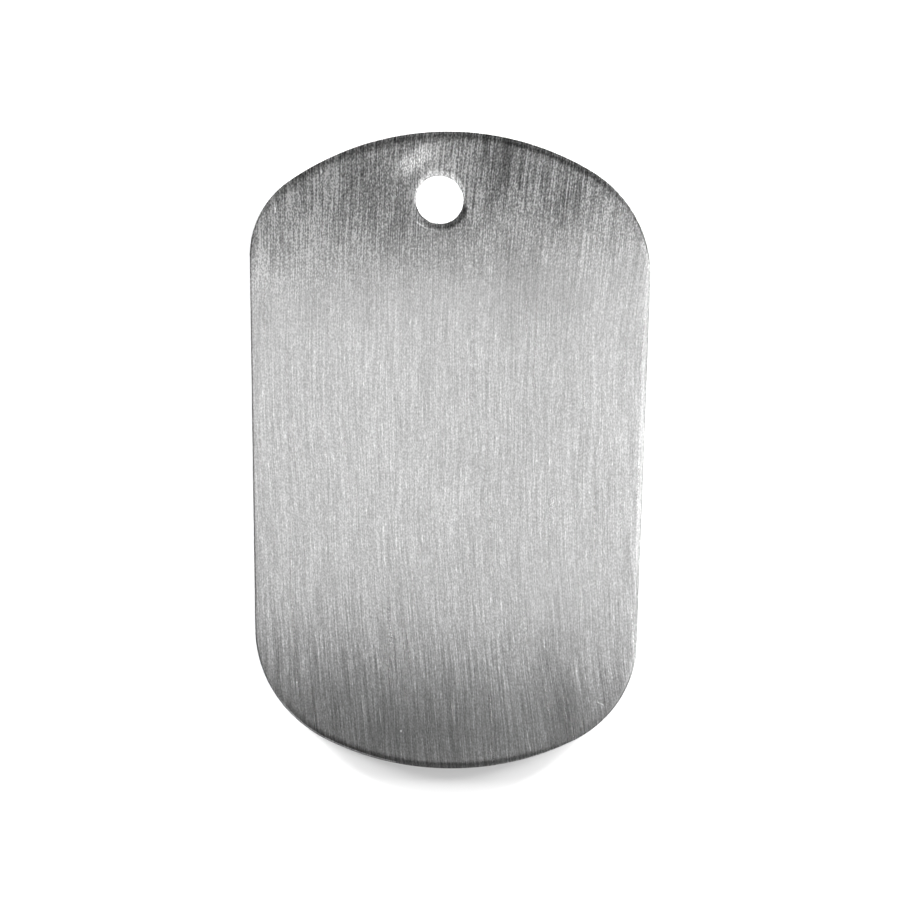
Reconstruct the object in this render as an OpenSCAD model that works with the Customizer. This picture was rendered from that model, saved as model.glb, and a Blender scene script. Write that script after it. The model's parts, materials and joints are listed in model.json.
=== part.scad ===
// Blank identification tag: one flat plate stamped from sheet metal.
// Both ends are wide arcs that run through four shoulders into straight sides.
// The front edge is rolled over by the die, the back edge is only broken, and
// the one punched hole sits in a shallow dish near the top end.
// The tag lies on its back: +Z leaves the front face and +Y points to the hole.

/* [Plate] */
// Length from end to end
tag_length = 50; // [46:0.5:70]
// Width across the straight sides
tag_width = 30; // [26:0.5:36]
// Thickness of the sheet
sheet_t = 1; // [0.9:0.05:1.6]

/* [Ends and shoulders] */
// Radius of the wide arc at both ends
end_r = 21.1; // [20:0.1:26]
// Shoulder radius at the top left
top_left_r = 6.9; // [4:0.1:11]
// Shoulder radius at the top right
top_right_r = 9.1; // [4:0.1:11.4]
// Shoulder radius at the bottom left
bottom_left_r = 10.2; // [4:0.1:11.4]
// Shoulder radius at the bottom right
bottom_right_r = 9.1; // [4:0.1:11.4]

/* [Edges] */
// Width of the soft roll along the front edge
roll_w = 0.8; // [0.5:0.05:1]
// Radius of the soft roll, where the face begins to fall away
roll_r = 2.4; // [2:0.1:4]
// Radius of the tighter arc that ends in the outer wall
edge_r = 0.3; // [0.1:0.05:0.4]
// Radius of the broken back edge
back_r = 0.12; // [0.05:0.01:0.2]

/* [Hole] */
// Diameter of the hole for a chain or ring
hole_d = 3.6; // [2.5:0.1:5]
// Metal left between the hole and the top end
bridge = 3.2; // [3.2:0.1:8]
// How far the hole sits from the centre line, less than 0 is left
hole_shift = -0.8; // [-2:0.1:2]
// Width of the dished ring around the hole
dish_w = 2.3; // [1.2:0.1:2.4]
// Radius of the dish, seen in section
dish_r = 28; // [20:1:60]
// Radius of the hole's front rim
rim_r = 0.25; // [0.1:0.05:0.3]

/* [Hidden] */
$fn = 128;
// How far a cutting shape runs past the face that it cuts
past = 1;
// How far neighbouring quarters run into each other, in mm or degrees
overlap = 2;
hole_r = hole_d / 2;
hole_x = hole_shift;
hole_y = tag_length / 2 - bridge - hole_r;
// The end arcs' centres lie this far from the middle, on the centre line
end_y = tag_length / 2 - end_r;

// Distance of a shoulder's centre from the tag's centre line
function shoulder_x(r) = tag_width / 2 - r;
// Distance of that centre from the middle, where the shoulder touches the side and the end arc
function shoulder_y(r) = end_y + sqrt(pow(end_r - r, 2) - pow(shoulder_x(r), 2));
// Angle from the side at which the shoulder hands over to the end arc
function shoulder_turn(r) = atan2(shoulder_y(r) - end_y, shoulder_x(r));

// Height of the centre of the tight arc: its top clears the soft arc by a hair
// where it starts, so that the two cross a little further out
function tight_z(soft_w, soft_r, tight_r) =
    let (soft_z = sheet_t - soft_r + sqrt(pow(soft_r, 2) - pow(soft_w - tight_r, 2)))
    ceil(soft_z * 100 + 0.1) / 100 - tight_r;

// What an arc of radius r leaves over in the corner beyond it
module corner_waste(width, r) {
    difference() {
        square([width + past, r + past]);
        circle(r);
    }
}

// Section of an edge, from its upright wall at x = 0 back to x = -depth: the
// front falls away along a soft arc and then a tight one, the back is just broken
module edge_section(depth, soft_w, soft_r, tight_r) {
    difference() {
        translate([-depth, 0]) square([depth, sheet_t]);
        translate([-soft_w, sheet_t - soft_r]) corner_waste(soft_w, soft_r);
        translate([-tight_r, tight_z(soft_w, soft_r, tight_r)]) corner_waste(tight_r, tight_r);
        translate([-back_r, back_r]) mirror([0, 1]) corner_waste(back_r, back_r);
    }
}

// The outer edge's section, with its wall at x = reach and its root on the axis
module outer_section(reach) {
    intersection() {
        translate([reach, 0]) edge_section(reach + past, roll_w, roll_r, edge_r);
        translate([0, -past]) square([reach + past, sheet_t + 2 * past]);
    }
}

// Moves by whole hundredths first and by the rest after, so that no digit is lost
module place(v) {
    coarse = [for (n = v) round(n * 100) / 100];
    translate(coarse) translate(v - coarse) children();
}

// A slice of a round plate that starts exactly at `from` and covers `sweep` whole degrees
module slice(reach, from, sweep) {
    coarse = round(from * 100) / 100;
    rotate([0, 0, from - coarse])
        rotate_extrude(start = coarse, angle = sweep) outer_section(reach);
}

// One quarter of the blank: half a straight side, a shoulder and half an end arc.
// Side is -1 left or 1 right, end is -1 bottom or 1 top; neighbours overlap a little.
module quarter(side, end, r) {
    turn = shoulder_turn(r);
    half_turn = ceil(turn / 2) + overlap;
    half_side = ceil(shoulder_y(r)) + overlap;
    half_end = ceil(90 - turn) + overlap;
    mirror([side < 0 ? 1 : 0, 0, 0]) mirror([0, end < 0 ? 1 : 0, 0]) {
        place([0, shoulder_y(r), 0])
            rotate([90, 0, 0])
                linear_extrude(height = half_side) outer_section(tag_width / 2);
        place([shoulder_x(r), shoulder_y(r), 0]) {
            slice(r, 0, half_turn);
            slice(r, turn - half_turn, half_turn);
        }
        place([0, end_y, 0]) slice(end_r, turn, half_end);
    }
}

// The plate before the hole is punched
module blank() {
    quarter(-1, 1, top_left_r);
    quarter(1, 1, top_right_r);
    quarter(-1, -1, bottom_left_r);
    quarter(1, -1, bottom_right_r);
}

// What the punch takes away: the hole, its rim and the dish around it
module punch() {
    dish_reach = hole_r + dish_w;
    rotate_extrude()
        difference() {
            translate([0, -past]) square([dish_reach, sheet_t + 2 * past]);
            translate([hole_r, 0]) mirror([1, 0]) edge_section(dish_w + past, dish_w, dish_r, rim_r);
            translate([hole_r + back_r, -2 * past]) square([dish_w, 2 * past]);
        }
}

module tag_plate() {
    color([0.66, 0.66, 0.67])
        difference() {
            blank();
            translate([hole_x, hole_y, 0]) punch();
        }
}

tag_plate();
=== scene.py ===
"""Looks of a blank identification tag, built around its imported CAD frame.

The tag is one plate of brushed steel that lies on a pale floor. Its mesh repeats the
CAD form and adds what the punch and the years left: an uneven dish and a wavy face.
"""

import json
import math
from collections import namedtuple

import bpy
import numpy as np
from bpy.props import FloatProperty, FloatVectorProperty, PointerProperty
from mathutils import Euler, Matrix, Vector


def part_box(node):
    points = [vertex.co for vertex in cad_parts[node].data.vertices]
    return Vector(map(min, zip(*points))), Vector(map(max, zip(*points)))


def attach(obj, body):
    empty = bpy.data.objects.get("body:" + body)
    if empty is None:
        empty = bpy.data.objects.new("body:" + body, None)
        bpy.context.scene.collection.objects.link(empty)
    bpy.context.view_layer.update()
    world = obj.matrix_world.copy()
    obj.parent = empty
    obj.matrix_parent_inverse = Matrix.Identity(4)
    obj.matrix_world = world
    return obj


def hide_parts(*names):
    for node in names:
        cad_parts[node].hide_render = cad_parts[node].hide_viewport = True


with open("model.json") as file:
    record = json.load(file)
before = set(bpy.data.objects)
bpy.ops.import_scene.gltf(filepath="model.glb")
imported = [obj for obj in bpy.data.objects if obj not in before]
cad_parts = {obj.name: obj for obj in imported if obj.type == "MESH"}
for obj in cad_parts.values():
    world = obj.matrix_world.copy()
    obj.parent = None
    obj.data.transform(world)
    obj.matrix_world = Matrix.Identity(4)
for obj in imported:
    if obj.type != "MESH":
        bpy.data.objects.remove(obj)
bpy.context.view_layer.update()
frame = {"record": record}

bl_info = {
    "name": "Blank identification tag",
    "version": (1, 0, 0),
    "blender": (4, 5, 0),
    "location": "3D View > Sidebar > Tag",
    "description": "Dresses the packed frame of a blank identification tag in brushed steel",
    "category": "Add Mesh",
}

MM = 0.001

# The plate and its hole, as the frame has them, and the piece that stands in for it
PLATE = "tag_plate"
PIECE = PLATE + "_brushed"
PLATE_LOW, PLATE_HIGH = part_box(PLATE)
HALF_WIDTH = PLATE_HIGH.x
HALF_LENGTH = PLATE_HIGH.y
SHEET = PLATE_HIGH.z
BORE = next(m for m in frame["record"]["mounts"] if m["name"] == "chain_hole")
HOLE_CENTRE = np.array(BORE["pos_m"][:2])
HOLE_RADIUS = BORE["dims"]["r_mm"] * MM

# How finely the plate is meshed: spokes out from the hole, rings on the face and on the
# back, and points on each arc of the outline and of an edge's section
SPOKES = 640
FACE_RINGS = 80
BACK_RINGS = 16
OUTLINE_STEPS = 400
SOFT_STEPS = 12
TIGHT_STEPS = 8
BACK_STEPS = 5
# The face's rings lie evenly this far from the hole, and then further apart by this power
FINE_REACH = 4 * MM
GRADE = 2.2
# How often the search for the place where two arcs cross halves its range
HALVINGS = 50


def size(name, description, default):
    """A length that a user would change."""
    return FloatProperty(name=name, description=description, default=default * MM,
                         min=0.0, precision=5, unit="LENGTH")


def share(name, description, default, most=1.0):
    """A plain number from 0 up to most."""
    return FloatProperty(name=name, description=description, default=default, min=0.0, max=most)


def grey(name, description, default):
    """A neutral colour."""
    return FloatVectorProperty(name=name, description=description, default=default,
                               size=3, min=0.0, max=1.0, subtype="COLOR")


class TagShape(bpy.types.PropertyGroup):
    """The steel, what the brush left on it, and the painted highlight and painted shade on its edges.
    Radii and widths of the plate that the frame's boxes don't tell.
    """

    end_radius: size("End radius", "Wide arc at both ends", 21.1)
    top_left: size("Top left shoulder", "Shoulder radius at the top left", 6.9)
    top_right: size("Top right shoulder", "Shoulder radius at the top right", 9.1)
    bottom_left: size("Bottom left shoulder", "Shoulder radius at the bottom left", 10.2)
    bottom_right: size("Bottom right shoulder", "Shoulder radius at the bottom right", 9.1)
    roll_width: size("Roll width", "Width of the soft roll along the front edge", 0.8)
    roll_radius: size("Roll radius", "Radius of that roll in section", 2.4)
    edge_radius: size("Edge radius", "Tighter arc between the roll and the wall", 0.3)
    back_radius: size("Back edge", "Radius of the broken back edge", 0.12)
    rim_width: size("Rim width", "Width of the soft roll around the hole", 0.45)
    rim_roll: size("Rim roll", "Radius of that roll in section", 1.4)
    rim_radius: size("Rim radius", "Radius of the hole's front rim", 0.25)


class TagFinish(bpy.types.PropertyGroup):
    """The steel and what the brush left on it."""

    steel: grey("Steel", "Colour of the clean metal", (0.59, 0.59, 0.59))
    roughness: share("Roughness", "Roughness of the brushed face", 0.277)
    anisotropy: share("Anisotropy", "How much wider light spreads across the brushing", 1.0)
    streak_width: size("Streak width", "Width of one brush mark", 0.09)
    streak_shade: share("Streak shade", "How strongly brush marks differ in brightness", 0.14)
    streak_lean: share("Streak lean", "How far brush marks tip along their length", 0.003)
    groove_depth: size("Groove depth", "Depth of the brush marks", 0.001)
    # The next two paint light into the colour of the edges and the hole's rim: painted shade where
    # they catch little light, and a painted highlight where they catch much
    painted_shade: share("Stained shade", "How bright the metal still is where it is stained", 0.45)
    rubbed_highlight: share("Worn shade", "How much brighter the metal is where it is rubbed", 1.35, 2.0)


class TagStage(bpy.types.PropertyGroup):
    """Floor and light."""

    floor: grey("Floor", "Colour of the floor", (0.86, 0.86, 0.86))
    key: share("Key light", "Brightness of the softbox that the face mirrors", 0.77, 10.0)
    side: share("Side light", "Brightness of the softbox beside the right edge", 8.5, 12.0)
    overhead: share("Overhead", "Brightness of the dim ceiling", 0.09, 10.0)
    gloom: share("Gloom", "Brightness of the dark upper walls", 0.05, 10.0)
    behind: share("Wall behind", "Brightness of the wall beyond the hole end", 0.3, 10.0)
    ahead: share("Wall ahead", "Brightness of the wall before the foot end", 0.2, 10.0)
    haze: share("Haze", "Brightness of the pale screens to the left and right", 0.36, 10.0)


# Outline and sections

def shoulder(radius, end_radius):
    """Centre of a shoulder in the upper right, and the angle where the end arc takes over."""
    end_y = HALF_LENGTH - end_radius
    x = HALF_WIDTH - radius
    y = end_y + math.sqrt((end_radius - radius) ** 2 - x ** 2)
    return x, y, math.atan2(y - end_y, x)


def outline_arcs(shape):
    """Centre, radius, first and last angle of each arc, anticlockwise from the right side."""
    end_y = HALF_LENGTH - shape.end_radius
    half_turn = math.pi
    x, y, turn_1 = shoulder(shape.top_right, shape.end_radius)
    yield (x, y), shape.top_right, 0.0, turn_1
    x, y, turn_2 = shoulder(shape.top_left, shape.end_radius)
    yield (0.0, end_y), shape.end_radius, turn_1, half_turn - turn_2
    yield (-x, y), shape.top_left, half_turn - turn_2, half_turn
    x, y, turn_3 = shoulder(shape.bottom_left, shape.end_radius)
    yield (-x, -y), shape.bottom_left, half_turn, half_turn + turn_3
    x, y, turn_4 = shoulder(shape.bottom_right, shape.end_radius)
    yield (0.0, -end_y), shape.end_radius, half_turn + turn_3, 2 * half_turn - turn_4
    yield (x, -y), shape.bottom_right, 2 * half_turn - turn_4, 2 * half_turn


def rays(angles):
    """Unit vectors at these angles."""
    return np.column_stack([np.cos(angles), np.sin(angles)])


def walk_outline(shape):
    """Evenly spaced points all round the outline, and which way is out at each."""
    turns, points = [], []
    for centre, radius, first, last in outline_arcs(shape):
        turn = np.linspace(first, last, OUTLINE_STEPS)
        turns.append(turn)
        points.append(np.array(centre) + radius * rays(turn))
    turns = np.concatenate([*turns, turns[0][:1] + 2 * math.pi])
    points = np.concatenate([*points, points[0][:1]])
    steps = np.linalg.norm(np.diff(points, axis=0), axis=1)
    walked = np.concatenate([[0.0], np.cumsum(steps)])
    stops = np.linspace(0.0, walked[-1], SPOKES, endpoint=False)
    place = np.column_stack([np.interp(stops, walked, points[:, axis]) for axis in (0, 1)])
    return place, rays(np.interp(stops, walked, turns))


class Section:
    """An edge seen in section: a soft arc, a tight one, an upright wall and a broken back.

    Distances run from the wall into the metal, heights from the back face up.
    """

    def __init__(self, soft_width, soft_radius, tight_radius, back_radius):
        self.width = soft_width
        self.soft = soft_radius
        self.tight = tight_radius
        self.back = back_radius
        # The tight arc's top is rounded up to a hundredth of a millimetre, as in the source
        top = math.ceil(self.face(tight_radius) / MM * 100 + 0.1) / 100 * MM
        self.wall_top = top - tight_radius
        self.start = self.crossing()

    def face(self, distance):
        """Height of the face or of the soft arc at a distance from the wall."""
        inside = np.maximum(self.width - distance, 0.0)
        return SHEET - self.soft + np.sqrt(self.soft ** 2 - inside ** 2)

    def crossing(self):
        """Distance from the wall at which the tight arc cuts the soft one."""
        low, high = 0.0, self.tight
        for _ in range(HALVINGS):
            middle = (low + high) / 2
            arc = self.wall_top + math.sqrt(self.tight ** 2 - (self.tight - middle) ** 2)
            if arc < self.face(middle):
                low = middle
            else:
                high = middle
        return low

    def soft_arc(self):
        """The soft arc, from the face to the tight arc."""
        distance = np.linspace(self.width, self.start, SOFT_STEPS)
        return distance, self.face(distance)

    def tight_arc(self):
        """The tight arc, down to the top of the wall."""
        first = math.acos((self.tight - self.start) / self.tight)
        turn = np.linspace(first, 0.0, TIGHT_STEPS)
        return self.tight * (1 - np.cos(turn)), self.wall_top + self.tight * np.sin(turn)

    def back_arc(self):
        """The broken back edge, from the foot of the wall to the back face."""
        turn = np.linspace(0.0, math.pi / 2, BACK_STEPS)
        return self.back * (1 - np.cos(turn)), self.back * (1 - np.sin(turn))


# How much of its roll each edge has, by the direction in degrees: for the plate's edge
# the one that it faces, for the hole's rim the one that it lies in
ROLL_SHARES = ((0, 0.6), (20, 0.3), (35, 1.0), (60, 0.9), (78, 0.65), (102, 0.6), (120, 0.5),
               (135, 0.5), (148, 0.05), (172, 0.3), (190, 0.2), (205, 0.15), (235, 0.7),
               (270, 1.0), (285, 0.75), (300, 0.4), (325, 0.15), (345, 0.2), (360, 0.6))
RIM_SHARES = ((0, 0.8), (45, 0.3), (90, 0.25), (120, 0.3), (150, 0.65), (165, 0.3), (180, 0.05),
              (195, 0.0), (225, 0.3), (240, 0.6), (255, 0.8), (270, 0.9), (300, 1.5), (315, 2.0),
              (330, 2.0), (345, 1.3), (360, 0.8))
RIM_ARC_SHARES = ((0, 0.5), (45, 0.15), (225, 0.15), (255, 0.5), (270, 0.85), (300, 1.1),
                  (345, 1.2), (360, 0.5))
# How much of the dish there is around the hole
DISH_SHARES = ((0, 0.0), (30, 0.15), (60, 0.4), (75, 0.45), (90, 0.15), (105, 0.0),
               (285, 0.0), (315, 0.35), (330, 0.35), (350, 0.0), (360, 0.0))
# How much the plate's edge is rubbed by the way it faces, which also paints it brighter, a painted
# highlight; where it is less than 0 the edge is painted darker instead, a painted shade
EDGE_WEAR_AND_PAINTED_LIGHT = ((0, 1.0), (30, 0.3), (60, -0.4), (125, -0.4), (150, 0.0), (205, 0.0), (235, -0.5),
             (275, -0.4), (300, 0.3), (335, 1.0), (360, 1.0))
# How much of the rubbing and its painted highlight gets past the roll, down to the wall and the back
# edge
RUB_AND_HIGHLIGHT_BELOW = 0.5
# How fast the hole's rim turns from rubbed and painted brighter to painted darker as it gets blunter:
# painted highlight and painted shade
RIM_PAINTED_SHADING = 1.5


def share_by_direction(table, directions):
    """The table's share for each of these directions."""
    turn = np.degrees(np.arctan2(directions[:, 1], directions[:, 0])) % 360
    degrees, shares = zip(*table)
    return np.interp(turn, degrees, shares)


# Dents and waves of the face in mm: middle, reach to the left, right, top and bottom, depth
WAVES = (
    (-0.8, 21.2, 2.7, 2.6, 2.2, 2.2, 0.04),
    (-3.4, 20.6, 1.0, 1.2, 1.2, 1.2, 0.022),
    (13.0, 10.0, 9.0, 9.0, 9.0, 9.0, 0.09),
    (13.0, -10.0, 9.0, 9.0, 9.0, 9.0, 0.09),
    (-11.0, -27.0, 10.0, 10.0, 9.0, 9.0, 0.10),
)

# The punch pressed a step around the hole, off its centre and deepest on one side
STEP_CENTRE = HOLE_CENTRE + np.array([0.0, 0.6]) * MM
STEP_INNER = 2.3 * MM
STEP_OUTER = 3.9 * MM
STEP_DEPTH = 0.075 * MM
STEP_SIDE = math.radians(141)
STEP_REACH_LEFT = math.radians(30)
STEP_REACH_RIGHT = math.radians(42)
# It also drew the face down towards the hole, like a dish of this width and radius
DISH_WIDTH = 2.3 * MM
DISH_RADIUS = 28 * MM


def pressed_step(points):
    """How far the step around the hole sinks."""
    offset = points - STEP_CENTRE
    part = (STEP_OUTER - np.linalg.norm(offset, axis=1)) / (STEP_OUTER - STEP_INNER)
    part = np.clip(part, 0.0, 1.0)
    turn = np.arctan2(offset[:, 1], offset[:, 0]) - STEP_SIDE
    turn = (turn + math.pi) % (2 * math.pi) - math.pi
    turn /= np.where(turn > 0, STEP_REACH_LEFT, STEP_REACH_RIGHT)
    return STEP_DEPTH * part ** 2 * (3 - 2 * part) * np.exp(-turn ** 2)


def pressed_dish(points):
    """How far the dish around the hole sinks."""
    offset = points - HOLE_CENTRE
    inside = HOLE_RADIUS + DISH_WIDTH - np.linalg.norm(offset, axis=1)
    inside = np.clip(inside, 0.0, DISH_WIDTH)
    depth = DISH_RADIUS - np.sqrt(DISH_RADIUS ** 2 - inside ** 2)
    return depth * share_by_direction(DISH_SHARES, offset)


def waviness(points):
    """How far the face lies below its true plane."""
    sunk = pressed_step(points) + pressed_dish(points)
    for x, y, left, right, top, bottom, depth in WAVES:
        off_x = points[:, 0] / MM - x
        off_y = points[:, 1] / MM - y
        off_x /= np.where(off_x < 0, left, right)
        off_y /= np.where(off_y < 0, bottom, top)
        sunk += depth * MM * np.exp(-(off_x ** 2 + off_y ** 2))
    return sunk


def spread(part, length):
    """How far along spokes of these lengths a ring lies, by its part of the way from 0 to 1."""
    fine = np.minimum(length, FINE_REACH)
    return fine * part + (length - fine) * part ** GRADE


class Rings:
    """Closed rings of points around the hole, joined each to the next and last to first."""

    def __init__(self):
        self.points = []
        self.wear_and_painted_light = []

    def add(self, plan, height, wear_and_painted_light):
        """One ring: its points seen from above, their height, and how much they are rubbed, with
        their painted highlight and painted shade.
        """
        everywhere = np.ones(len(plan))
        self.points.append(np.column_stack([plan, height * everywhere]))
        self.wear_and_painted_light.append(wear_and_painted_light * everywhere)

    def mesh(self, name):
        """The mesh with its wear, painted highlight and painted shade as an attribute."""
        count, rings = SPOKES, len(self.points)
        ring, spoke = np.meshgrid(np.arange(rings), np.arange(count), indexing="ij")
        next_ring, next_spoke = (ring + 1) % rings, (spoke + 1) % count
        corners = [ring * count + spoke, next_ring * count + spoke,
                   next_ring * count + next_spoke, ring * count + next_spoke]
        faces = np.stack(corners, axis=-1).reshape(-1, 4)
        mesh = bpy.data.meshes.new(name)
        mesh.from_pydata(np.concatenate(self.points).tolist(), [], faces.tolist())
        wear_and_painted_light = mesh.attributes.new("wear_and_painted_light", "FLOAT", "POINT")
        wear_and_painted_light.data.foreach_set("value", np.concatenate(self.wear_and_painted_light).astype(np.float32))
        mesh.polygons.foreach_set("use_smooth", [True] * len(mesh.polygons))
        mesh.update()
        return mesh


def add_hole_and_face(rings, away, reach, rim):
    """The hole from the foot of its wall, its rim, and the face out to the plate's roll."""
    softness = share_by_direction(RIM_SHARES, away)
    bluntness = share_by_direction(RIM_ARC_SHARES, away)
    # A sharp rim is rubbed and painted brighter, a blunt one painted darker: painted highlight and
    # painted shade
    rub_and_painted_light = 1 - RIM_PAINTED_SHADING * bluntness
    for distance, height in reversed(list(zip(*rim.back_arc()))):
        rings.add(HOLE_CENTRE + away * (HOLE_RADIUS + distance), height, 1.0)
    start = rim.start * bluntness
    top = SHEET - softness * (SHEET - rim.face(start))
    for distance, height in reversed(list(zip(*rim.tight_arc()))):
        plan = HOLE_CENTRE + away * (HOLE_RADIUS + distance * bluntness)[:, None]
        drop = (rim.face(rim.start) - height) * bluntness
        rings.add(plan, top - drop - waviness(plan), rub_and_painted_light)
    for part in np.linspace(0.0, 1.0, FACE_RINGS)[1:]:
        distance = start + spread(part, reach - HOLE_RADIUS - start)
        plan = HOLE_CENTRE + away * (HOLE_RADIUS + distance)[:, None]
        fade = np.clip(1 - (distance - start) / rim.width, 0.0, 1.0)
        sunk = softness * (SHEET - rim.face(distance)) + waviness(plan)
        rings.add(plan, SHEET - sunk, fade * rub_and_painted_light)


def add_edge(rings, outline, out, edge):
    """The plate's edge, from its roll down to the broken back edge."""
    rolled = share_by_direction(ROLL_SHARES, out)
    # The edge's wear table paints it brighter and darker by the way it faces: painted highlight and
    # painted shade
    rub_and_painted_light = share_by_direction(EDGE_WEAR_AND_PAINTED_LIGHT, out)
    for distance, height in list(zip(*edge.soft_arc()))[1:]:
        plan = outline - out * distance
        level = SHEET - rolled * (SHEET - height)
        fade = (height - edge.wall_top) / (SHEET - edge.wall_top)
        rings.add(plan, level - waviness(plan) * fade, (1 - distance / edge.width) * rub_and_painted_light)
    raised = (1 - rolled) * (SHEET - edge.face(edge.start))
    wall_rub_and_painted_light = np.where(rub_and_painted_light < 0, rub_and_painted_light, RUB_AND_HIGHLIGHT_BELOW * rub_and_painted_light)
    for distance, height in list(zip(*edge.tight_arc()))[1:]:
        rings.add(outline - out * distance, height + raised, wall_rub_and_painted_light)
    for distance, height in zip(*edge.back_arc()):
        rings.add(outline - out * distance, height, RUB_AND_HIGHLIGHT_BELOW * rub_and_painted_light)


def add_back(rings, inner, outer):
    """The flat back, from its outer edge in to the hole."""
    for part in np.linspace(1.0, 0.0, BACK_RINGS)[1:-1]:
        rings.add(inner + (outer - inner) * part, 0.0, 0.0)


def plate_mesh(shape):
    """The whole plate, ring by ring: hole, face, rolled edge and back."""
    outline, out = walk_outline(shape)
    edge = Section(shape.roll_width, shape.roll_radius, shape.edge_radius, shape.back_radius)
    rim = Section(shape.rim_width, shape.rim_roll, shape.rim_radius, shape.back_radius)
    spoke = outline - out * edge.width - HOLE_CENTRE
    reach = np.linalg.norm(spoke, axis=1)
    away = spoke / reach[:, None]
    rings = Rings()
    add_hole_and_face(rings, away, reach, rim)
    add_edge(rings, outline, out, edge)
    add_back(rings, HOLE_CENTRE + away * (HOLE_RADIUS + rim.back), outline - out * edge.back)
    return rings.mesh(PIECE)


# Node helpers

def add(tree, kind, inputs=None, **settings):
    """A node with these settings; an input is a plain value or another node's socket."""
    node = tree.nodes.new("ShaderNode" + kind)
    for name, value in settings.items():
        setattr(node, name, value)
    for name, value in (inputs or {}).items():
        if isinstance(value, bpy.types.NodeSocket):
            tree.links.new(value, node.inputs[name])
        else:
            node.inputs[name].default_value = value
    return node


def calc(tree, operation, *values):
    """The result of one sum."""
    return add(tree, "Math", dict(enumerate(values)), operation=operation).outputs[0]


def product(tree, value, *others):
    """All of these multiplied together."""
    for other in others:
        value = calc(tree, "MULTIPLY", value, other)
    return value


def blend(tree, *layers):
    """The sum of layers, each with its weight."""
    total = 0.0
    for layer, weight in layers:
        total = calc(tree, "MULTIPLY_ADD", layer, weight, total)
    return total


def remap(tree, value, low, high, to_low=0.0, to_high=1.0):
    """Value moved smoothly from one range to another and kept inside it."""
    inputs = {"Value": value, "From Min": low, "From Max": high,
              "To Min": to_low, "To Max": to_high}
    return add(tree, "MapRange", inputs, interpolation_type="SMOOTHSTEP").outputs["Result"]


def vector_calc(tree, operation, *values, output="Vector"):
    """The result of one sum with vectors."""
    return add(tree, "VectorMath", dict(enumerate(values)), operation=operation).outputs[output]


def scaled(tree, vector, scale):
    """A fixed vector times a number."""
    node = add(tree, "VectorMath", {0: tuple(vector), "Scale": scale}, operation="SCALE")
    return node.outputs["Vector"]


def combine(tree, x, y, z=0.0):
    """A vector put together from numbers."""
    return add(tree, "CombineXYZ", {"X": x, "Y": y, "Z": z}).outputs["Vector"]


def noise(tree, inputs):
    """Noise that is 0 on average."""
    return calc(tree, "SUBTRACT", add(tree, "TexNoise", inputs).outputs["Fac"], 0.5)


# The brush ran in slightly bent lines: their slant, their bow per metre, how much more
# they bow further right per metre, how far they wander, and how often in a metre
BRUSH_SLANT = 0.026
BRUSH_BOW = 1.75
BRUSH_FAN = 42.0
BRUSH_WANDER = 0.8 * MM
BRUSH_WANDER_OFTEN = 0.08 / MM
# Keeps the direction across the brushing from vanishing on the end walls
BRUSH_ACROSS_LEAST = 0.05


def brush_path(tree, place):
    """How far across the brushing a point lies, and how far along it."""
    parts = add(tree, "SeparateXYZ", {"Vector": place}).outputs
    across, along = parts["X"], parts["Y"]
    bow = calc(tree, "MULTIPLY", calc(tree, "MULTIPLY", along, along), BRUSH_BOW)
    fan = calc(tree, "MULTIPLY_ADD", across, BRUSH_FAN, 1.0)
    bent = calc(tree, "SUBTRACT", across, calc(tree, "MULTIPLY", bow, fan))
    bent = calc(tree, "MULTIPLY_ADD", along, BRUSH_SLANT, bent)
    drift = noise(tree, {"Vector": place, "Scale": BRUSH_WANDER_OFTEN, "Detail": 1.0})
    return calc(tree, "MULTIPLY_ADD", drift, BRUSH_WANDER, bent), along


# Layers of the brushing: width in streaks, length in mm, where in the noise it is cut,
# detail, and how strongly the layer tips the metal and shades it
Layer = namedtuple("Layer", "width length cut detail tips shades")
LAYERS = {
    "lines": Layer(1, 4.5, 3.3, 0.0, 5.0, 3.8),
    "dashes": Layer(1, 0.8, 11.3, 0.0, 5.0, 2.3),
    "grain": Layer(1, 0.16, 31.3, 0.0, 3.0, 5.8),
    "bands": Layer(4, 9.0, 47.3, 2.0, 1.5, 1.0),
}
LAYER_ROUGHNESS = 0.6
# The highest dashes glint: from where they do and where fully, and how much lighter
GLINTS = (0.2, 0.36)
GLINT_SHADE = 1.5
# Across the tag, the changes near its hole end slant by this much
END_SLANT = -0.11
# How strongly all layers shade, by place along the tag in mm: from, to, strength at each; near the
# hole end this paints glints, streaks that catch the light
PAINTED_GLINTS_NEAR_HOLE = (12.1, 20.8, 1.0, 2.9)
# How much more strongly the lines do so near the hole end and near the foot end, painting glints of
# lines that catch the light
PAINTED_LINE_GLINTS_NEAR_HOLE = (14.0, 20.0, 0.0, 3.5)
PAINTED_LINE_GLINTS_NEAR_FOOT = (-19.0, -9.0, 2.2, 0.0)
# How much brushing is left, by wear: from, to, share left at each
BRUSHING_LEFT = (0.5, 1.0, 1.0, 0.3)
# Between which wears the metal is painted bright, a painted highlight, and between which its painted
# shade ends
BRIGHTENS = (0.3, 0.9)
PAINTED_SHADE_RANGE = (-0.5, 0.0)
# How much rougher the bands are
BAND_ROUGHNESS = 0.02


def streaks(tree, path, width, layer):
    """One layer of the brushing: noise drawn out along it, 0 on average."""
    across, along = path
    cell = combine(tree, calc(tree, "DIVIDE", across, width * layer.width),
                   calc(tree, "DIVIDE", along, layer.length * MM), layer.cut)
    return noise(tree, {"Vector": cell, "Scale": 1.0, "Detail": layer.detail,
                        "Roughness": LAYER_ROUGHNESS})


def ramp_along(tree, along, ramp):
    """What a ramp in mm gives at this distance along the tag."""
    low, high, at_low, at_high = ramp
    return remap(tree, along, low * MM, high * MM, at_low, at_high)
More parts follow.
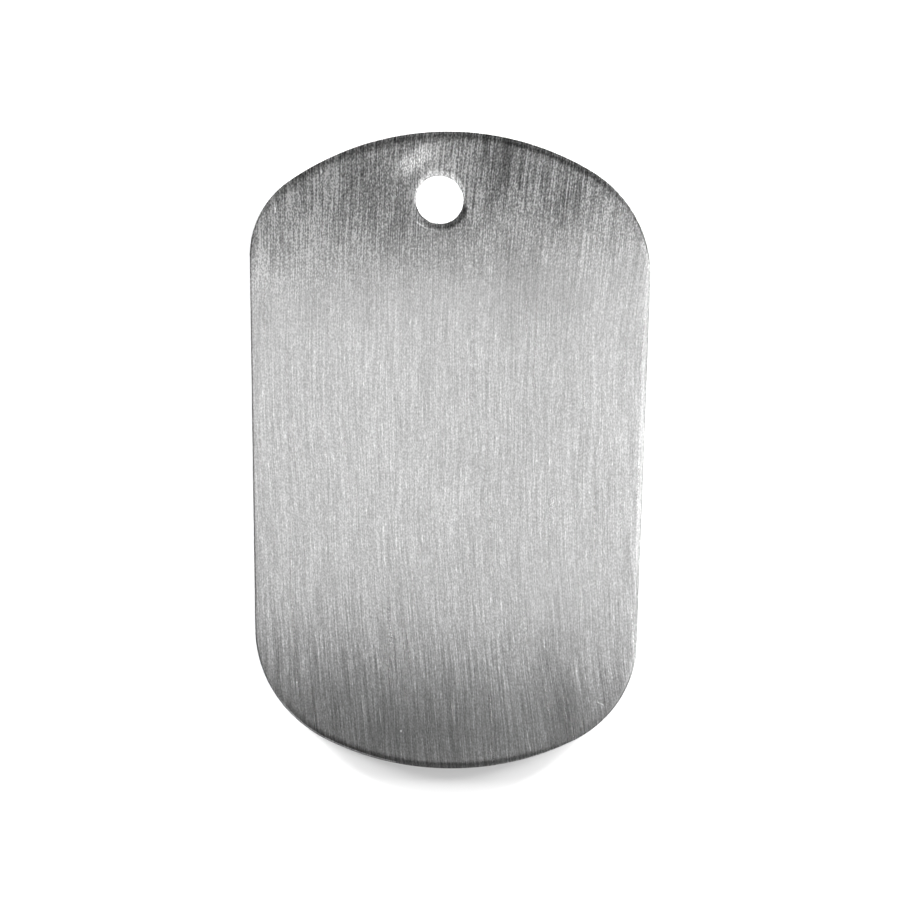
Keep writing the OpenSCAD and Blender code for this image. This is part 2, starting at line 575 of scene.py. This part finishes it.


# Scratches in mm: the points they run through, their width, how far they tip the metal
# towards the hole end, and how much lighter they are, a painted glint where above 0
SCRATCHES = (
    (((-3.42, -22.15), (-3.37, -23.8), (-3.05, -24.2)), 0.09, 0.05, 0.2),
    (((-5.14, -19.95), (-5.03, -21.2)), 0.07, 0.09, 0.2),
    (((-6.57, -18.9), (-6.45, -20.0), (-6.33, -20.5)), 0.07, 0.05, 0.1),
    (((4.63, -16.1), (4.85, -19.4)), 0.07, 0.03, 0.1),
    (((0.72, -18.3), (0.84, -22.0)), 0.07, 0.04, 0.1),
    (((6.63, -21.6), (6.69, -22.25), (6.9, -23.15)), 0.09, 0.06, 0.2),
    (((7.68, -22.3), (7.85, -23.0)), 0.08, 0.05, 0.1),
    (((12.13, -18.98), (12.57, -19.2)), 0.1, 0.08, 0.4),
    (((11.24, -11.75), (11.79, -11.98), (12.5, -12.4)), 0.07, 0.0, 0.25),
    (((7.77, -14.46), (8.05, -14.8)), 0.09, 0.04, 0.3),
    (((10.79, -15.0), (11.13, -15.9)), 0.08, 0.04, 0.2),
    (((14.11, -9.3), (14.15, -17.1)), 0.22, 0.0, 0.1),
    (((4.95, 18.6), (4.85, 17.6)), 0.08, -0.06, 0.2),
    (((7.22, 16.2), (7.16, 15.5)), 0.08, -0.04, 0.2),
    (((2.28, 8.85), (2.22, 7.85)), 0.09, 0.0, 0.2),
    (((-2.5, 18.42), (-1.8, 17.97), (-0.9, 17.79)), 0.12, -0.05, 0.16),
    (((-2.83, 16.43), (-1.78, 16.37)), 0.09, -0.04, 0.15),
    (((-2.6, 16.3), (-2.67, 15.4)), 0.08, -0.03, 0.15),
    (((-9.64, 22.4), (-9.53, 21.9)), 0.1, -0.08, 0.3),
    (((-13.05, 19.6), (-12.98, 19.0)), 0.12, -0.05, 0.3),
    (((-9.06, 12.0), (-8.75, 11.88)), 0.08, 0.0, -0.5),
)

# How far a scratch fades out from its middle, as a share of its width
SCRATCH_FADE = 0.7

# Specks in mm: place, radius, tip towards the hole end, and how much lighter: above 0 a painted
# glint, below 0 a dark pit
SPECKS = (
    (-3.41, -21.84, 0.13, 0.1, 0.4),
    (-9.65, -14.98, 0.11, 0.06, 0.4),
    (-7.87, -14.89, 0.1, 0.05, 0.3),
    (-7.04, -14.79, 0.1, 0.05, 0.3),
    (-11.74, -17.95, 0.12, 0.08, 0.3),
    (9.15, -14.79, 0.1, 0.06, 0.3),
    (8.63, -12.88, 0.1, 0.02, 0.3),
    (5.35, 23.78, 0.12, -0.1, 0.4),
    (8.54, 22.52, 0.11, -0.1, 0.4),
    (-6.49, 21.81, 0.14, 0.05, -0.4),
    (-9.0, 11.7, 0.12, 0.0, -0.35),
    (7.97, 10.08, 0.14, 0.0, -0.3),
    (-2.17, 9.55, 0.12, 0.0, -0.3),
    (-4.03, 4.94, 0.12, 0.0, -0.3),
)


def from_segment(tree, point, start, end):
    """Distance of a point from the straight stretch between two others."""
    run = Vector(end) - Vector(start)
    offset = vector_calc(tree, "SUBTRACT", point, start)
    along = vector_calc(tree, "DOT_PRODUCT", offset, tuple(run / run.length_squared), output="Value")
    along = add(tree, "Clamp", {"Value": along}).outputs["Result"]
    return vector_calc(tree, "DISTANCE", offset, scaled(tree, run, along), output="Value")


def marks(tree, place):
    """How far scratches and specks tip the metal, and how much lighter they are, with painted glints
    where they are lighter.
    """
    point = vector_calc(tree, "MULTIPLY", place, (1 / MM, 1 / MM, 0.0))
    found = []
    for points, width, lean, lighter in SCRATCHES:
        for start, end in zip(points, points[1:]):
            distance = from_segment(tree, point, (*start, 0.0), (*end, 0.0))
            found.append((remap(tree, distance, 0.0, width * SCRATCH_FADE, 1.0, 0.0), lean, lighter))
    for x, y, radius, lean, lighter in SPECKS:
        distance = vector_calc(tree, "DISTANCE", point, (x, y, 0.0), output="Value")
        found.append((remap(tree, distance, 0.0, radius, 1.0, 0.0), lean, lighter))
    tip = blend(tree, *((mark, lean) for mark, lean, _ in found))
    shade = blend(tree, *((mark, lighter) for mark, _, lighter in found))
    return tip, shade


# Patches of painted shade, and of painted light where less than 0, in place of the uneven face's
# reflections; in mm: middle, half width, half length, and how much weaker the light is there
PAINTED_SHADE_PATCHES = (
    (-6.2, 21.4, 1.6, 3.5, 0.26),
    (3.4, 22.2, 1.9, 3.4, 0.48),
    (6.4, 20.6, 1.6, 3.0, 0.2),
    (8.4, 20.2, 1.6, 3.0, 0.24),
    (5.2, 17.0, 2.2, 3.4, 0.14),
    (5.0, 12.6, 2.0, 3.2, 0.12),
    (-3.4, 17.4, 1.8, 2.2, 0.24),
    (-0.8, 15.8, 1.6, 1.6, 0.1),
    (8.4, 13.4, 2.2, 2.6, 0.12),
    (5.5, 2.0, 7.5, 13.0, 0.07),
    (8.0, 7.0, 1.6, 6.0, 0.05),
    (0.0, 23.5, 14.0, 1.8, 0.08),
    (-4.2, 18.6, 1.4, 2.6, 0.1),
    (8.2, -14.5, 2.2, 3.0, 0.06),
    (7.4, -16.2, 1.9, 4.2, 0.18),
    (0.0, -20.6, 13.0, 4.0, 0.2),
    (-4.5, -22.4, 5.5, 2.2, 0.12),
    (8.3, -20.5, 2.0, 3.2, 0.16),
    (12.0, -16.8, 2.4, 3.0, 0.15),
    (-12.3, 14.6, 2.5, 2.4, -0.12),
    (-14.4, 16.0, 1.6, 3.2, -0.2),
)
# Patches set out the same way, where the brushing and its painted glints shade less
CALM = (
    (8.5, -9.5, 5.5, 4.5, 0.25),
)
# How far out a patch fades, as a multiple of its half width and half length
PATCH_FADE = 1.5


def patches(tree, path, table):
    """What the patches of a table leave of 1."""
    across, along = path
    left = 1.0
    for x, y, half_width, half_length, less in table:
        spot = combine(tree,
                       calc(tree, "MULTIPLY_ADD", across, 1 / (half_width * MM), -x / half_width),
                       calc(tree, "MULTIPLY_ADD", along, 1 / (half_length * MM), -y / half_length))
        distance = vector_calc(tree, "LENGTH", spot, output="Value")
        left = calc(tree, "SUBTRACT", left, remap(tree, distance, 0.0, PATCH_FADE, less, 0.0))
    return left


def to_world(tree, vector):
    """A direction of the object as one of the world."""
    return add(tree, "VectorTransform", {"Vector": vector}, vector_type="VECTOR",
               convert_from="OBJECT", convert_to="WORLD").outputs["Vector"]


def across_brushing(tree):
    """The direction across the brushing, wherever the metal faces."""
    facing = add(tree, "NewGeometry").outputs["Normal"]
    across = vector_calc(tree, "CROSS_PRODUCT", to_world(tree, (0.0, 1.0, 0.0)), facing)
    return vector_calc(tree, "ADD", across, (BRUSH_ACROSS_LEAST, 0.0, 0.0))


def brush_shading(tree, path, layers):
    """How strongly the brushing lightens or darkens the metal, by place: its own streaks, with
    painted glints towards the ends where streaks catch the light.
    """
    slanted = calc(tree, "MULTIPLY_ADD", path[0], END_SLANT, path[1])
    glints = remap(tree, layers["dashes"], *GLINTS)
    fine = blend(tree, *((layers[name], layer.shades) for name, layer in LAYERS.items()),
                 (glints, GLINT_SHADE))
    fine = calc(tree, "MULTIPLY", fine, product(tree, ramp_along(tree, slanted, PAINTED_GLINTS_NEAR_HOLE),
                                                patches(tree, path, CALM)))
    line_glints = calc(tree, "ADD", ramp_along(tree, slanted, PAINTED_LINE_GLINTS_NEAR_HOLE),
                      ramp_along(tree, path[1], PAINTED_LINE_GLINTS_NEAR_FOOT))
    return calc(tree, "MULTIPLY_ADD", layers["lines"], line_glints, fine)


def brushed_steel(finish):
    """Steel brushed along the tag, rubbed smooth where it is rolled over; its colour also holds
    painted glints, painted shade and painted highlights.
    """
    material = bpy.data.materials.new("brushed_steel")
    material.use_nodes = True
    tree = material.node_tree
    tree.nodes.clear()
    place = add(tree, "TexCoord").outputs["Object"]
    wear_and_painted_light = add(tree, "Attribute", attribute_name="wear_and_painted_light").outputs["Fac"]
    path = brush_path(tree, place)
    layers = {name: streaks(tree, path, finish.streak_width, layer)
              for name, layer in LAYERS.items()}
    left = remap(tree, wear_and_painted_light, *BRUSHING_LEFT)
    mark_tip, mark_shade = marks(tree, place)

    drawn = blend(tree, *((layers[name], layer.tips) for name, layer in LAYERS.items()))
    drawn = calc(tree, "MULTIPLY", drawn, left)
    bump = add(tree, "Bump", {"Strength": 1.0, "Distance": finish.groove_depth, "Height": drawn})
    tip = calc(tree, "MULTIPLY_ADD", drawn, finish.streak_lean, mark_tip)
    lean = to_world(tree, combine(tree, 0.0, tip))
    normal = vector_calc(tree, "NORMALIZE", vector_calc(tree, "ADD", bump.outputs["Normal"], lean))

    brushing = product(tree, brush_shading(tree, path, layers), left, finish.streak_shade)
    # Painted light in the colour: glints of the brushing and the marks, patches of painted shade, and
    # painted highlight and shade along the edges and the hole's rim
    shade = product(tree, calc(tree, "EXPONENT", brushing),
                    calc(tree, "ADD", mark_shade, 1.0),
                    patches(tree, path, PAINTED_SHADE_PATCHES),
                    remap(tree, wear_and_painted_light, *BRIGHTENS, 1.0, finish.rubbed_highlight),
                    remap(tree, wear_and_painted_light, *PAINTED_SHADE_RANGE, finish.painted_shade, 1.0))

    shader = add(tree, "BsdfPrincipled", {
        "Base Color": scaled(tree, finish.steel, shade),
        "Metallic": 1.0,
        "Roughness": calc(tree, "MULTIPLY_ADD", layers["bands"], BAND_ROUGHNESS, finish.roughness),
        "Anisotropic": finish.anisotropy,
        "Tangent": across_brushing(tree),
        "Normal": normal,
    })
    output = add(tree, "OutputMaterial")
    tree.links.new(shader.outputs["BSDF"], output.inputs["Surface"])
    return material


# Stage

# The camera: place in mm, turn in degrees, lens and sensor in mm, nearest and furthest in m
CAMERA_PLACE = (4.61, 26.43, 119.37)
CAMERA_TURN = (-12.03, 2.266, 0.661)
CAMERA_LENS = 63.37
CAMERA_SENSOR = 36.0
CAMERA_NEAR = 0.001
CAMERA_FAR = 10.0

# Softboxes: place in m, degrees of lean to the left, width and depth in m, and the
# brightness as a share of one that a user sets. The face mirrors the key and its faded
# border, and the right edge mirrors the one beside it.
SOFTBOXES = (
    ("key_light", (-0.1, -0.1155, 0.5), 0.0, 1.3, 0.161, "key", 1.0),
    ("key_fade", (-0.1, -0.018, 0.5), 0.0, 1.3, 0.034, "key", 0.1),
    ("side_light", (0.55, -0.15, 0.35), 57.5, 0.2, 0.5, "side", 1.0),
)

# Suns low behind the tag, each of them on both sides: degrees aside and above the floor,
# strength, and how many degrees wide
FLOOR_SUNS = (
    ("floor_low", 40.5, 3.4, 26.0, 17.6),
    ("floor_high", 55.6, 11.3, 5.6, 18.0),
)

# The spot above the hole: height in m, power in W, degrees wide, soft share of that width
SPOT_HEIGHT = 0.3
SPOT_POWER = 5.0
SPOT_ANGLE = 1.0
SPOT_SOFT = 0.2

# How far the floor reaches from the tag in m
FLOOR_REACH = 3.0

# Where the surroundings change, by how far a direction points along an axis, from 0 to 1:
# up from dark walls to the ceiling, to the side from nothing to the pale screens and up
# from the floor to them, and towards the walls behind the tag and ahead of it
CEILING = (0.64, 0.88)
SCREENS = (0.3, 0.6)
SCREENS_UP = (-0.1, 0.0)
SCREENS_NARROW = -0.7
WALL_BEHIND = (0.3, 0.5)
WALL_AHEAD = (-0.8, -0.55)


def turned(degrees):
    """A rotation by so many degrees about each axis."""
    return Euler([math.radians(angle) for angle in degrees])


def make_camera():
    """The camera at the photograph's angle to the tag."""
    data = bpy.data.cameras.new("camera")
    data.lens = CAMERA_LENS
    data.sensor_width = CAMERA_SENSOR
    data.clip_start = CAMERA_NEAR
    data.clip_end = CAMERA_FAR
    camera = bpy.data.objects.new("camera", data)
    camera.location = Vector(CAMERA_PLACE) * MM
    camera.rotation_euler = turned(CAMERA_TURN)
    bpy.context.scene.collection.objects.link(camera)
    bpy.context.scene.camera = camera


def make_light(name, kind, place, turn, **settings):
    """A light of this kind, turned by so many degrees."""
    data = bpy.data.lights.new(name, kind)
    for key, value in settings.items():
        setattr(data, key, value)
    light = bpy.data.objects.new(name, data)
    light.location = place
    light.rotation_euler = turned(turn)
    bpy.context.scene.collection.objects.link(light)
    return light


def softbox(name, place, lean, width, depth, radiance):
    """A flat light of this brightness, leaning to the left by so many degrees."""
    light = make_light(name, "AREA", place, (0, lean, 0), shape="RECTANGLE", size=width,
                       size_y=depth, energy=radiance * math.pi * width * depth)
    light.visible_camera = False


def floor_sun(name, aside, height, strength, angle):
    """Low soft light from behind that whitens the floor and that the metal doesn't mirror.

    It stands so many degrees to the right and above the floor.
    """
    light = make_light(name, "SUN", (0, 0, 0), (height - 90, 0, -aside), energy=strength,
                       angle=math.radians(angle))
    light.visible_glossy = False


def hole_spot():
    """A narrow spot that keeps the floor white where it shows through the hole."""
    light = make_light("hole_spot", "SPOT", (*HOLE_CENTRE, SPOT_HEIGHT), (0, 0, 0),
                       energy=SPOT_POWER, spot_size=math.radians(SPOT_ANGLE),
                       spot_blend=SPOT_SOFT, shadow_soft_size=1 * MM)
    light.visible_glossy = False


def make_floor(stage):
    """A plain pale floor, which the metal doesn't mirror."""
    material = bpy.data.materials.new("pale_floor")
    material.use_nodes = True
    shader = material.node_tree.nodes["Principled BSDF"]
    shader.inputs["Base Color"].default_value = (*stage.floor, 1.0)
    shader.inputs["Roughness"].default_value = 1.0
    shader.inputs["Specular IOR Level"].default_value = 0.0
    corners = [(x * FLOOR_REACH, y * FLOOR_REACH, 0) for x, y in ((-1, -1), (1, -1), (1, 1), (-1, 1))]
    mesh = bpy.data.meshes.new("floor")
    mesh.from_pydata(corners, [], [(0, 1, 2, 3)])
    mesh.materials.append(material)
    floor = bpy.data.objects.new("floor", mesh)
    floor.visible_glossy = False
    bpy.context.scene.collection.objects.link(floor)


def make_world(stage):
    """A dim ceiling, pale walls before and behind, and screens low down on either side."""
    world = bpy.data.worlds.new("studio")
    world.use_nodes = True
    tree = world.node_tree
    tree.nodes.clear()
    direction = add(tree, "TexCoord").outputs["Generated"]
    parts = add(tree, "SeparateXYZ", {"Vector": direction}).outputs
    aside = calc(tree, "MULTIPLY_ADD", calc(tree, "ABSOLUTE", parts["Y"]), SCREENS_NARROW,
                 calc(tree, "ABSOLUTE", parts["X"]))
    overhead = remap(tree, parts["Z"], *CEILING, stage.gloom, stage.overhead)
    screens = calc(tree, "MULTIPLY", remap(tree, aside, *SCREENS, 0.0, stage.haze),
                   remap(tree, parts["Z"], *SCREENS_UP))
    behind = remap(tree, parts["Y"], *WALL_BEHIND, 0.0, stage.behind)
    ahead = remap(tree, parts["Y"], *WALL_AHEAD, stage.ahead, 0.0)
    level = blend(tree, (overhead, 1.0), (screens, 1.0), (behind, 1.0), (ahead, 1.0))
    background = add(tree, "Background", {"Color": (1.0, 1.0, 1.0, 1.0), "Strength": level})
    output = add(tree, "OutputWorld")
    tree.links.new(background.outputs["Background"], output.inputs["Surface"])
    bpy.context.scene.world = world


class TAG_OT_plate(bpy.types.Operator):
    """Build the brushed plate in place of the frame's plain one"""

    bl_idname = "tag.plate"
    bl_label = "Brushed plate"

    def execute(self, context):
        scene = context.scene
        plate = bpy.data.objects.new(PIECE, plate_mesh(scene.tag_shape))
        plate.data.materials.append(brushed_steel(scene.tag_finish))
        scene.collection.objects.link(plate)
        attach(plate, "root")
        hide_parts(PLATE)
        return {"FINISHED"}


class TAG_OT_stage(bpy.types.Operator):
    """Lay the floor, set the lights and place the camera"""

    bl_idname = "tag.stage"
    bl_label = "Floor, light and camera"

    def execute(self, context):
        stage = context.scene.tag_stage
        make_floor(stage)
        make_world(stage)
        make_camera()
        for name, place, lean, width, depth, light, part in SOFTBOXES:
            softbox(name, place, lean, width, depth, getattr(stage, light) * part)
        for side in (-1, 1):
            for name, aside, height, strength, angle in FLOOR_SUNS:
                floor_sun(name, side * aside, height, strength, angle)
        hole_spot()
        context.scene.view_settings.view_transform = "Standard"
        return {"FINISHED"}


class TAG_PT_panel(bpy.types.Panel):
    """The tag's pieces and its stage"""

    bl_idname = "TAG_PT_panel"
    bl_label = "Identification tag"
    bl_space_type = "VIEW_3D"
    bl_region_type = "UI"
    bl_category = "Tag"

    def draw(self, context):
        for operator in OPERATORS:
            self.layout.operator(operator.bl_idname)
        for name in GROUPS:
            group = getattr(context.scene, name)
            box = self.layout.box()
            for key in group.bl_rna.properties.keys():
                if key not in ("rna_type", "name"):
                    box.prop(group, key)


GROUPS = {"tag_shape": TagShape, "tag_finish": TagFinish, "tag_stage": TagStage}
OPERATORS = (TAG_OT_plate, TAG_OT_stage)
CLASSES = (*GROUPS.values(), *OPERATORS, TAG_PT_panel)


def register():
    """Adds the classes and the groups of values to Blender."""
    for item in CLASSES:
        bpy.utils.register_class(item)
    for name, group in GROUPS.items():
        setattr(bpy.types.Scene, name, PointerProperty(type=group))


def unregister():
    """Takes them away again."""
    for name in GROUPS:
        delattr(bpy.types.Scene, name)
    for item in reversed(CLASSES):
        bpy.utils.unregister_class(item)


def main():
    """Builds the tag and its stage."""
    register()
    bpy.ops.tag.plate()
    bpy.ops.tag.stage()


if __name__ == "__main__":
    main()
